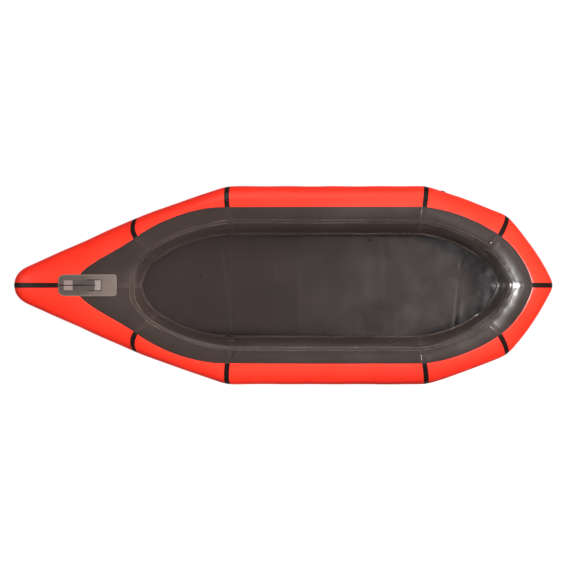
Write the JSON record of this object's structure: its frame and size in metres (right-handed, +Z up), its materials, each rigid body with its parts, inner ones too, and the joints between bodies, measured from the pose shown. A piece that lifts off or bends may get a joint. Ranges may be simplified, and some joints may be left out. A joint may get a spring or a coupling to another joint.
{
  "type": "inflatable kayak",
  "caption": "Open two-person inflatable kayak: a ring of welded air-tube gores with pointed bow and faceted stern, floor sheet, seam tapes, bow grab loop and screw-cap valve",
  "frame": {"origin": "On the ground plane under the middle of the hull's length and width", "axes": "+X to the bow, +Y to port, +Z up"},
  "size_m": [2.9662, 1.0906, 0.2833],
  "materials": {
    "red_fabric": "satin",
    "grey_fabric": "satin",
    "black_tape": "satin",
    "grey_tape": "satin",
    "floor_fabric": "satin",
    "patch_fabric": "matte",
    "webbing": "matte",
    "flange_fabric": "satin",
    "seal_rubber": "matte",
    "valve_plastic": "satin"
  },
  "bodies": {
    "hull": {"aft_shoulder_tapes_inner": "grey_tape", "bow_centre_tape_inner": "grey_tape", "bow_centre_tape_outer": "black_tape", "bow_patch": "patch_fabric", "bow_tapes_inner": "grey_tape", "corner_tapes_inner": "grey_tape", "floor_bow": "floor_fabric", "floor_main": "floor_fabric", "fore_shoulder_tapes_inner": "grey_tape", "port_aft_shoulder_tape_outer": "black_tape", "port_bow_deck": "grey_fabric", "port_bow_inner": "grey_fabric", "port_bow_outer": "red_fabric", "port_bow_quarter_deck": "grey_fabric", "port_bow_quarter_inner": "grey_fabric", "port_bow_quarter_outer": "red_fabric", "port_bow_tape_outer": "black_tape", "port_corner_tape_outer": "black_tape", "port_fore_shoulder_tape_outer": "black_tape", "port_loop_sewn_end": "webbing", "port_side_deck": "grey_fabric", "port_side_inner": "grey_fabric", "port_side_outer": "red_fabric", "port_stern_deck": "grey_fabric", "port_stern_inner": "grey_fabric", "port_stern_outer": "red_fabric", "port_stern_quarter_deck": "grey_fabric", "port_stern_quarter_inner": "grey_fabric", "port_stern_quarter_outer": "red_fabric", "starboard_aft_shoulder_tape_outer": "black_tape", "starboard_bow_deck": "grey_fabric", "starboard_bow_inner": "grey_fabric", "starboard_bow_outer": "red_fabric", "starboard_bow_quarter_deck": "grey_fabric", "starboard_bow_quarter_inner": "grey_fabric", "starboard_bow_quarter_outer": "red_fabric", "starboard_bow_tape_outer": "black_tape", "starboard_corner_tape_outer": "black_tape", "starboard_fore_shoulder_tape_outer": "black_tape", "starboard_loop_sewn_end": "webbing", "starboard_side_deck": "grey_fabric", "starboard_side_inner": "grey_fabric", "starboard_side_outer": "red_fabric", "starboard_stern_deck": "grey_fabric", "starboard_stern_inner": "grey_fabric", "starboard_stern_outer": "red_fabric", "starboard_stern_quarter_deck": "grey_fabric", "starboard_stern_quarter_inner": "grey_fabric", "starboard_stern_quarter_outer": "red_fabric", "stern_centre_tape_inner": "grey_tape", "stern_centre_tape_outer": "black_tape", "valve_body": "valve_plastic", "valve_flange": "flange_fabric"},
    "cap_seal": {"cap_seal": "seal_rubber"},
    "valve_cap": {"valve_cap": "valve_plastic"},
    "valve_flap": {"valve_flap": "seal_rubber"},
    "grab_loop": {"grab_loop": "webbing"}
  },
  "joints": [
    {"name": "cap_lift", "type": "slide", "parent": "hull", "child": "cap_seal", "axis": [-0.3203, -0.8701, -0.3746], "range_m": [0, 0.005]},
    {"name": "cap_turn", "type": "hinge", "parent": "cap_seal", "child": "valve_cap", "pos_m": [-0.87634, -0.5002, 0.08328], "axis": [-0.3203, -0.8701, -0.3746], "range_deg": [0, 720]},
    {"name": "flap_open", "type": "slide", "parent": "hull", "child": "valve_flap", "axis": [0.3203, 0.8701, 0.3746], "range_m": [0, 0.004]},
    {"name": "loop_lift", "type": "hinge", "parent": "hull", "child": "grab_loop", "pos_m": [1.1397, 0, 0.28196], "axis": [0, 1, 0], "range_deg": [0, 150]}
  ],
  "couplings": [
    {"joint": "cap_lift", "follows": "cap_turn", "m_per_rad": 0.00039789}
  ]
}
